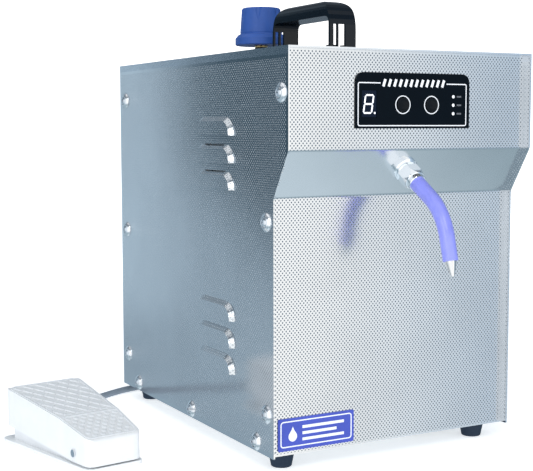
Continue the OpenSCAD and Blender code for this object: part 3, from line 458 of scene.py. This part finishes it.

# The dark dot colours of the front and rear, and the lighter one of the sides, are painted shade in the dots'
# hollows.
front_steel = embossed_steel(
    "front_steel", 0, (front_low.x + BORDER, front_low.z + 2 * MM),
    (front_high.x - BORDER, front_high.z - 2 * MM),
    (0.13, 0.16, 0.20), 0.18, PRESSED_Z)
side_steel = embossed_steel(
    "side_steel", 1, (panel_low.y + BORDER, panel_low.z + BORDER),
    (panel_high.y - BORDER, panel_high.z - 3 * MM),
    (0.60, 0.64, 0.68), 0.11, relief=1.6)
rear_steel = embossed_steel(
    "rear_steel", 0, (front_low.x + BORDER, front_low.z + BORDER),
    (front_high.x - BORDER, front_high.z - BORDER),
    (0.20, 0.23, 0.27), 0.20)
dress(front_steel, "front_panel")
dress(side_steel, "side_panel_left", "side_panel_right")
dress(rear_steel, "rear_panel")
dress(metal("cover_steel", (0.66, 0.70, 0.75), 0.16, 0.5 * MM, (1, 12, 1), mottle=0.02), "top_cover")
dress(metal("inner_steel", (0.55, 0.56, 0.58), 0.38, 0.8 * MM, (1, 8, 1)), "base_chassis", "boiler_stand")
dress(metal("boiler_steel", (0.60, 0.60, 0.60), 0.30, 0.8 * MM, (1, 1, 9)), "boiler_shell")
bright = metal("bright_steel", (0.80, 0.82, 0.85), 0.13, 0.5 * MM)
dress(bright, "casing_screws", "mounting_screws", "nozzle_locknut", "nozzle_tube",
      "pedal_pin", "pedal_spring", "switch_lever", "solenoid_plunger", "safety_valve_stem", "level_probe")
dress(metal("chrome", (0.90, 0.93, 0.96), 0.05, 0.5 * MM, depth=0.002 * MM, mottle=0.02),
      "nozzle_bulkhead", "union_nut")
dress(metal("tip_steel", (0.80, 0.80, 0.80), 0.10, 0.4 * MM, (1, 1, 6)), "nozzle_tip")
dress(metal("washer_metal", (0.86, 0.88, 0.91), 0.16), "cup_washers")
dress(metal("brass", (0.80, 0.60, 0.28), 0.25, 0.5 * MM), "filler_neck", "cap_plug", "safety_valve_body",
      "solenoid_body", "drain_valve_body")
dress(metal("copper_pipe", (0.82, 0.45, 0.30), 0.30), "steam_pipe", "drain_pipe")
dress(metal("heater_grey", (0.30, 0.31, 0.32), 0.55), "heating_element", "pressure_switch")
dress(moulding("foot_rubber", (0.014, 0.030, 0.058), 0.55, gloss=0.3), "rubber_feet")
dress(moulding("handle_plastic", (0.003, 0.007, 0.013), 0.17, 0.3 * MM, 0.002 * MM, gloss=0.24), "handle")
dress(moulding("fascia_film", (0.001, 0.004, 0.008), 0.26, 0.25 * MM, 0.003 * MM, gloss=0.05),
      "control_fascia")
dress(moulding("display_window", (0.005, 0.011, 0.026), 0.20, gloss=0.06), "display_module")
dress(moulding("button_plastic", (0.004, 0.006, 0.009), 0.30, gloss=0.12), "button_left", "button_right")
dress(lit_print("light_lens", (0.85, 0.88, 0.92), 0.25), "indicator_lights")
dress(board_green("board_lacquer"), "control_board", "power_board")
dress(moulding("badge_blue", (0.070, 0.105, 0.520), 0.28, 0.3 * MM, 0.004 * MM, gloss=0.2), "badge")
dress(moulding("seal_rubber", (0.05, 0.05, 0.05), 0.6), "cap_gasket")
dress(moulding("cap_blue", (0.030, 0.098, 0.380), 0.40, 0.3 * MM, 0.010 * MM, gloss=0.3), "cap_knob")
dress(felt("insulation_felt", (0.80, 0.77, 0.62)), "insulation_jacket")
dress(moulding("black_moulding", (0.018, 0.018, 0.020), 0.42), "thermostat", "mains_inlet",
      "power_switch_body", "power_rocker", "pedal_switch", "cable_gland")
dress(moulding("coil_resin", (0.22, 0.03, 0.03), 0.35), "solenoid_coil")
dress(moulding("lever_red", (0.55, 0.04, 0.03), 0.30, coat=0.4), "drain_lever")
pedal_white = moulding("pedal_white", (0.86, 0.88, 0.90), 0.34, 0.5 * MM, 0.015 * MM, 0.02)
dress(pedal_white, "pedal_base", "pedal_cover", "cable_relief")
dress(moulding("pedal_rubber", (0.20, 0.20, 0.21), 0.6), "pedal_feet")
sleeve_silicone = moulding("sleeve_silicone", (0.28, 0.31, 0.92), 0.25, 0.4 * MM, 0.006 * MM, 0.06,
                           coat=0.5, soft=0.08)
strap_black = felt("strap_weave", (0.03, 0.03, 0.035))
cable_grey = moulding("cable_jacket", (0.24, 0.29, 0.35), 0.42, 0.3 * MM, 0.01 * MM)
cable.data.materials[0] = cable_grey
bpy.data.objects["cable_tie"].data.materials[0] = strap_black
# White ink with a little emission: painted glow on the print.
white_ink_painted_glow = lit_print("white_ink_painted_glow", (0.85, 0.88, 0.92), 0.15)
grey_ink = lit_print("grey_ink", (0.12, 0.13, 0.15), 0.0)

# ---- Control fascia ----

INK = 0.08                             # thickness of the print
FRAME_BOX = (-59.0, 307.9, 59.0, 345.3)
TITLE_GAP = (-35.6, 36.6)
TITLE_BARS = 12
BUTTONS_X = (-11.5, 19.9)
CONTROL_Z = 326.4
LIGHT_PITCH = 7.7
LEGENDS_X = (48.4, 53.4)


def make_fascia_print():
    """A white frame with a gap at the top for a row of plain slanted bars, and a ring round each button."""
    place = front_of("control_fascia")
    x0, z0, x1, z1 = FRAME_BOX
    mesh = bmesh.new()
    box = corner_box(x0, z0, x1, z1, 1.6)
    half = len(box) // 2
    frame_line = [(TITLE_GAP[0], z1)] + box[half:] + box[:half] + [(TITLE_GAP[1], z1)]
    add_line(mesh, frame_line, 0.95, place, INK)
    for x in BUTTONS_X:
        add_line(mesh, circle(x, CONTROL_Z, 7.8), 0.85, place, INK, closed=True)
    for i in range(TITLE_BARS):
        middle = TITLE_GAP[0] + 4 + i * (TITLE_GAP[1] - TITLE_GAP[0] - 8) / (TITLE_BARS - 1)
        add_line(mesh, [(middle - 1.1, z1 - 3.0), (middle + 1.1, z1 + 3.4)], 2.6, place, INK)
    build("fascia_print", mesh, white_ink_painted_glow, "cabinet")
    mesh = bmesh.new()
    for k in (-1, 0, 1):
        z = CONTROL_Z + k * LIGHT_PITCH
        add_line(mesh, [(LEGENDS_X[0], z), (LEGENDS_X[1], z)], 1.5, place, INK)
    build("fascia_legends", mesh, grey_ink, "cabinet")


def make_digit():
    """A slanted seven-segment numeral with its point."""
    place = front_of("display_module")
    left, right, low, high = -52.0, -43.6, 319.0, 334.6
    slant = 0.15
    width = 1.45
    middle = (low + high) / 2

    def lean(x, z):
        return x + slant * (z - middle), z

    mesh = bmesh.new()
    half = width / 2
    gap = 0.25
    for z in (low, middle, high):
        bar = [(left + gap, z), (left + half + gap, z + half), (right - half - gap, z + half),
               (right - gap, z), (right - half - gap, z - half), (left + half + gap, z - half)]
        add_patch(mesh, [lean(*p) for p in bar], place, INK)
    for x in (left, right):
        for z0, z1 in ((low, middle), (middle, high)):
            bar = [(x, z0 + gap), (x + half, z0 + half + gap), (x + half, z1 - half - gap), (x, z1 - gap),
                   (x - half, z1 - half - gap), (x - half, z0 + half + gap)]
            add_patch(mesh, [lean(*p) for p in bar], place, INK)
    add_patch(mesh, circle(-41.3, low, 0.95, 12), place, INK)
    build("display_digit", mesh, lit_print("segment_white", (0.90, 0.93, 0.97), 0.6), "cabinet")


def make_badge_print():
    """A round-cornered border, a drop of water and three plain bars in place of lettering."""
    place = front_of("badge")
    low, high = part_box("badge")
    x0, x1, z0, z1 = low.x / MM, high.x / MM, low.z / MM, high.z / MM
    mesh = bmesh.new()
    add_line(mesh, corner_box(x0 + 2.9, z0 + 3.7, x1 - 2.9, z1 - 3.0, 2.4), 1.1, place, INK, closed=True)
    drop = []
    for k in range(24):
        angle = 2 * math.pi * k / 24
        sharpen = max(0.0, math.sin(angle)) ** 6
        drop.append((x0 + 15 + 4.4 * math.cos(angle) * (1 - 0.8 * sharpen),
                     (z0 + z1) / 2 - 2.0 + 4.6 * math.sin(angle) + 4.4 * sharpen))
    add_patch(mesh, drop, place, INK)
    for k, length in ((-1, 44), (0, 36), (1, 44)):
        z = (z0 + z1) / 2 + k * 5.6
        add_line(mesh, [(x0 + 25, z), (x0 + 25 + length, z)], 2.6, place, INK)
    build("badge_print", mesh, white_ink_painted_glow, "cabinet")


# ---- Nozzle sleeve ----

RAKE_TILT = math.radians(31.76)
NOZZLE_ROOT = (-171.79, 268.89)        # where the fitting's axis meets the raked face, as (y, z)
SLEEVE_START = 16.0
SLEEVE_STRAIGHT = 30.4
SLEEVE_BEND_R = 55.0
SLEEVE_BEND = math.radians(75) - RAKE_TILT
SLEEVE_TAIL = 21.0
SLEEVE_BORE_R = 4.05


def nozzle_line(distance):
    """The place and direction of the nozzle's axis at a distance along the sleeve, as (y, z) pairs."""
    way = Vector((-math.cos(RAKE_TILT), -math.sin(RAKE_TILT)))
    turn = Vector((math.sin(RAKE_TILT), -math.cos(RAKE_TILT)))
    start = Vector(NOZZLE_ROOT) + way * SLEEVE_START
    if distance <= SLEEVE_STRAIGHT:
        return start + way * distance, way
    start += way * SLEEVE_STRAIGHT
    arc = min(distance - SLEEVE_STRAIGHT, SLEEVE_BEND_R * SLEEVE_BEND)
    angle = arc / SLEEVE_BEND_R
    place = start + SLEEVE_BEND_R * (way * math.sin(angle) + turn * (1 - math.cos(angle)))
    bent = way * math.cos(angle) + turn * math.sin(angle)
    return place + bent * (distance - SLEEVE_STRAIGHT - arc), bent


def make_sleeve():
    """A soft tube pushed over the nozzle: stretched where it starts, thinner toward its cut end."""
    total = SLEEVE_STRAIGHT + SLEEVE_BEND_R * SLEEVE_BEND + SLEEVE_TAIL
    stations = 64
    sides = 48
    profile = [(0.0, SLEEVE_BORE_R)]
    profile += [(total * i / stations, 7.5 - 0.75 * (i / stations) ** 0.8) for i in range(stations + 1)]
    profile[1] = (0.0, 7.2)
    profile += [(total + 0.25, 6.3), (total + 0.25, SLEEVE_BORE_R + 0.5), (total, SLEEVE_BORE_R)]
    profile += [(total * (1 - i / 30), SLEEVE_BORE_R) for i in range(1, 30)]
    rings = []
    for distance, radius in profile:
        place, way = nozzle_line(distance)
        across = Vector((-way.y, way.x))
        rings.append([Vector((radius * math.cos(2 * math.pi * k / sides),
                              *(place + across * radius * math.sin(2 * math.pi * k / sides))))
                      for k in range(sides)])
    mesh = bmesh.new()
    add_rings(mesh, rings, closed=True)
    sleeve = smooth(build("nozzle_sleeve_skin", mesh, sleeve_silicone, "cabinet"), 50)
    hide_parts("nozzle_sleeve")


# ---- Pedal tread ----

PEDAL_LENGTH = 148.0
TOE_HALF, HEEL_HALF = 27.0, 39.5
RIDGE_AT = 50.0
TOE_TOP, RIDGE_TOP, HEEL_TOP = 31.5, 42.5, 54.5


def tread_half(v):
    return TOE_HALF + (HEEL_HALF - TOE_HALF) * v / PEDAL_LENGTH


def tread_height(v):
    if v < RIDGE_AT:
        return TOE_TOP + (RIDGE_TOP - TOE_TOP) * v / RIDGE_AT
    return RIDGE_TOP + (HEEL_TOP - RIDGE_TOP) * (v - RIDGE_AT) / (PEDAL_LENGTH - RIDGE_AT)


def on_tread(u, v, height):
    return pedal_point(u, v, tread_height(v) + height) / MM


def clip(outline, fence):
    """The part of a convex outline inside a convex fence, both counterclockwise."""
    kept = outline
    for a, b in zip(fence, fence[1:] + fence[:1]):
        def inside(p):
            return (b[0] - a[0]) * (p[1] - a[1]) - (b[1] - a[1]) * (p[0] - a[0])
        cut = []
        for p, q in zip(kept, kept[1:] + kept[:1]):
            if inside(p) >= 0:
                cut.append(p)
            if (inside(p) >= 0) != (inside(q) >= 0):
                t = inside(p) / (inside(p) - inside(q))
                cut.append((p[0] + t * (q[0] - p[0]), p[1] + t * (q[1] - p[1])))
        kept = cut
        if not kept:
            break
    return kept


def area(outline):
    return abs(sum(p[0] * q[1] - p[1] * q[0] for p, q in zip(outline, outline[1:] + outline[:1]))) / 2


def tread_fence(v0, v1, margin):
    return [(-tread_half(v0) + margin, v0), (tread_half(v0) - margin, v0),
            (tread_half(v1) - margin, v1), (-tread_half(v1) + margin, v1)]


def make_tread():
    """Slanted bricks from the ridge to the heel, round studs from the toe to the ridge, and one rim."""
    mesh = bmesh.new()
    long_way = Vector((0.5, -0.866))
    short_way = Vector((0.866, 0.5))
    fence = tread_fence(RIDGE_AT + 4.5, PEDAL_LENGTH - 6, 4.0)
    for i in range(-4, 14):
        for j in range(-1, 11):
            middle = Vector((12.4 * i - 6.2 * j - 30, PEDAL_LENGTH - 10 - 10.7 * j))
            brick = [middle + long_way * (a * 5.4) + short_way * (b * 2.9)
                     for a, b in ((-1, -1), (1, -1), (1, 1), (-1, 1))]
            shape = clip([tuple(p) for p in brick], fence)
            if len(shape) > 2 and area(shape) > 8:
                add_patch(mesh, shape, on_tread, 0.8, 0.7)
    fence = tread_fence(6.0, RIDGE_AT - 3.5, 3.6)
    for j in range(7):
        v = 8.4 + 6.1 * j
        for i in range(-4, 5):
            u = 8.0 * (i + (0.5 if j % 2 else 0))
            if abs(u) < tread_half(v) - 5.4:
                add_patch(mesh, circle(u, v, 2.5, 14), on_tread, 0.8, 0.8)
    add_line(mesh, [(-tread_half(RIDGE_AT) + 1.2, RIDGE_AT), (tread_half(RIDGE_AT) - 1.2, RIDGE_AT)], 2.2,
             on_tread, 0.9)
    rim = [(-tread_half(4) + 2.2, 7), (-tread_half(4) + 5, 4), (tread_half(4) - 5, 4),
           (tread_half(4) - 2.2, 7), (tread_half(RIDGE_AT) - 2.0, RIDGE_AT), (tread_half(140) - 2.4, 139),
           (tread_half(145) - 8, 144.5), (-tread_half(145) + 8, 144.5), (-tread_half(140) + 2.4, 139),
           (-tread_half(RIDGE_AT) + 2.0, RIDGE_AT)]
    add_line(mesh, rim, 1.3, on_tread, 0.7, closed=True)
    build("pedal_tread", mesh, tread_white, "pedal")


SPRING_TURNS = 5
SPRING_STEPS = 24                      # points in one turn
SPRING_WIRE_R = 0.9


def make_pedal_spring():
    """The pedal's return spring."""
    low, high = (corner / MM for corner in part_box("pedal_spring"))
    radius = (high.x - low.x) / 2 - SPRING_WIRE_R
    middle = (low + high) / 2
    rise = high.z - low.z - 2 * SPRING_WIRE_R
    count = SPRING_TURNS * SPRING_STEPS
    path = []
    for i in range(count + 1):
        angle = PEDAL_YAW + 2 * math.pi * i / SPRING_STEPS
        path.append(Vector((middle.x + radius * math.cos(angle), middle.y + radius * math.sin(angle),
                            low.z + SPRING_WIRE_R + rise * i / count)))
    mesh = bmesh.new()
    add_tube(mesh, path, SPRING_WIRE_R, 10)
    spring = smooth(build("pedal_spring_wire", mesh, bright, "cabinet"), 50)
    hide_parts("pedal_spring")
    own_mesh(spring)


tread_white = moulding("tread_white", (0.82, 0.85, 0.88), 0.38, 0.5 * MM, 0.015 * MM, 0.02)
make_fascia_print()
make_digit()
make_badge_print()
make_sleeve()
make_tread()
make_pedal_spring()

# ---- Rounded edges ----


def soften_edges(width, *names):
    """Breaks a node's sharp edges, so that they catch the light."""
    for name in names:
        edge = nodes[name].modifiers.new("soft_edges", "BEVEL")
        edge.width = width * MM
        edge.segments = 2
        edge.limit_method = "ANGLE"
        edge.angle_limit = math.radians(40)
        edge.harden_normals = True


# ---- Floor, light and camera view ----


def make_floor():
    """White paper. The steel mirrors the studio's own lower half instead, which is greyer than the paper."""
    mesh = bmesh.new()
    size = 1.1
    for x, y in ((-size, -size), (size, -size), (size, size), (-size, size)):
        mesh.verts.new((x, y, 0))
    mesh.faces.new(mesh.verts)
    data = bpy.data.meshes.new("floor")
    mesh.to_mesh(data)
    mesh.free()
    s = Shader("floor_paper")
    tone = s.mix(s.noise(0.02), (0.93, 0.94, 0.95), (0.95, 0.96, 0.97))
    data.materials.append(s.set(Base_Color=tone, Roughness=0.9, Emission_Color=tone, Emission_Strength=0.60))
    floor = bpy.data.objects.new("floor", data)
    floor.visible_glossy = False
    bpy.context.scene.collection.objects.link(floor)


def make_light(name, place, target, size, power):
    data = bpy.data.lights.new(name, "AREA")
    data.shape = "DISK"
    data.size = size
    data.energy = power
    light = bpy.data.objects.new(name, data)
    light.location = place
    light.rotation_euler = (Vector(target) - Vector(place)).to_track_quat("-Z", "Y").to_euler()
    bpy.context.scene.collection.objects.link(light)


# The studio's colour round the horizon, by bearing in degrees from +Y toward +X
STUDIO_RING = (
    (-180, (1.20, 1.23, 1.26)), (-150, (1.26, 1.28, 1.30)), (-110, (1.28, 1.30, 1.30)),
    (-78, (0.80, 0.88, 0.95)), (-50, (0.36, 0.47, 0.56)), (-8, (0.36, 0.47, 0.56)),
    (6, (0.22, 0.28, 0.34)), (70, (0.18, 0.23, 0.28)), (122, (0.35, 0.45, 0.55)),
    (137, (0.48, 0.62, 0.78)), (141, (0.74, 0.87, 0.99)), (145, (1.14, 1.18, 1.20)),
    (149, (1.44, 1.40, 1.33)), (156, (1.50, 1.45, 1.38)), (180, (1.22, 1.24, 1.26)))
STUDIO_PEAK = 1.6
STUDIO_ROOF = (0.92, 0.94, 0.96)
STUDIO_BAND = (0.20, 0.24, 0.28)       # between the walls and the roof, and above the right wall
STUDIO_SKIRT = (0.36, 0.47, 0.53)      # below the horizon, which the right of the raked face mirrors
STUDIO_GROUND = (0.76, 0.88, 0.95)     # underfoot, which its left mirrors
LEFT_SHADE = (0.055, 0.095, 0.130)     # the left wall's dark half, which the side panel's front mirrors
LEFT_GLOW = (0.56, 0.71, 0.83)         # its pale half, which the panel's back mirrors


def make_world():
    """A white studio with a grey wall on the left, dark and pale by halves, that the camera sees as plain
    white."""
    world = bpy.data.worlds.new("studio")
    bpy.context.scene.world = world
    world.use_nodes = True
    s = Nodes(world.node_tree)
    split = s.add("ShaderNodeSeparateXYZ", Vector=s.add("ShaderNodeTexCoord").outputs["Generated"])
    degree = 180 / math.pi

    def under_peak(color):
        """A studio colour as a share of the brightest, which the background's strength puts back."""
        return shade(color, 1 / STUDIO_PEAK)

    bearing = s.math("MULTIPLY", s.math("ARCTAN2", split.outputs["X"], split.outputs["Y"]), degree)
    height = s.math("MULTIPLY", s.math("ARCSINE", split.outputs["Z"]), degree)

    ring = s.add("ShaderNodeValToRGB", Fac=s.math("ADD", s.math("DIVIDE", bearing, 360.0), 0.5))
    stops = ring.color_ramp.elements
    while len(stops) < len(STUDIO_RING):
        stops.new(0.5)
    for stop, (turn, color) in zip(stops, STUDIO_RING):
        stop.position = turn / 360 + 0.5
        stop.color = (*under_peak(color), 1)
    tone = s.mix(s.ramp(height, 20.0, 28.0, 0.0, 1.0), ring.outputs["Color"], under_peak(STUDIO_BAND))
    tone = s.mix(s.ramp(height, 38.0, 48.0, 0.0, 1.0), tone, under_peak(STUDIO_ROOF))
    aside = s.math("MULTIPLY", s.ramp(bearing, 5.0, 40.0, 0.0, 1.0), s.ramp(bearing, 136.0, 112.0, 0.0, 1.0))
    aside = s.math("MULTIPLY", aside, s.ramp(height, 18.0, 26.0, 0.0, 1.0))
    aside = s.math("MULTIPLY", aside, s.ramp(height, 80.0, 62.0, 0.0, 1.0))
    tone = s.mix(aside, tone, under_peak(STUDIO_BAND))
    tone = s.mix(s.ramp(height, -20.0, -38.0, 0.0, 1.0), tone, under_peak(STUDIO_SKIRT))
    tone = s.mix(s.ramp(height, -42.0, -53.0, 0.0, 1.0), tone, under_peak(STUDIO_GROUND))

    glow = s.math("MULTIPLY", s.ramp(bearing, -24.7, -23.7, 0.0, 1.0),
                  s.ramp(bearing, -10.0, -16.0, 0.0, 1.0))
    glow = s.math("MULTIPLY", glow, s.ramp(height, -10.5, -8.0, 0.0, 1.0))
    tone = s.mix(s.math("MULTIPLY", glow, s.ramp(height, 40.0, 20.0, 0.0, 1.0)), tone,
                 under_peak(LEFT_GLOW))
    slope = s.math("ADD", s.math("MULTIPLY", bearing, 1.04), 24.0)
    dark = s.math("MULTIPLY", s.ramp(bearing, -23.7, -24.7, 0.0, 1.0),
                  s.ramp(bearing, -48.0, -38.0, 0.0, 1.0))
    dark = s.math("MULTIPLY", dark, s.ramp(s.math("SUBTRACT", height, slope), -3.0, 3.0, 0.0, 1.0))
    tone = s.mix(s.math("MULTIPLY", dark, s.ramp(height, 40.0, 20.0, 0.0, 1.0)), tone,
                 under_peak(LEFT_SHADE))

    seen = s.add("ShaderNodeLightPath").outputs["Is Camera Ray"]
    background = s.tree.nodes["Background"]
    s.feed(background.inputs["Color"], s.mix(seen, tone, (1.0, 1.0, 1.0)))
    background.inputs["Strength"].default_value = STUDIO_PEAK


soften_edges(0.4, "top_cover")
soften_edges(0.6, "front_panel", "union_nut")
soften_edges(0.48, "side_panel_left", "side_panel_right")
soften_edges(1.6, "handle")
make_floor()
make_world()
make_light("key", (-0.9, -2.3, 2.1), (-0.05, 0, 0.15), 1.4, 14)
make_light("fill", (-2.3, -1.2, 1.4), (-0.15, 0, 0.1), 1.4, 9)
bpy.context.scene.view_settings.view_transform = "Standard"
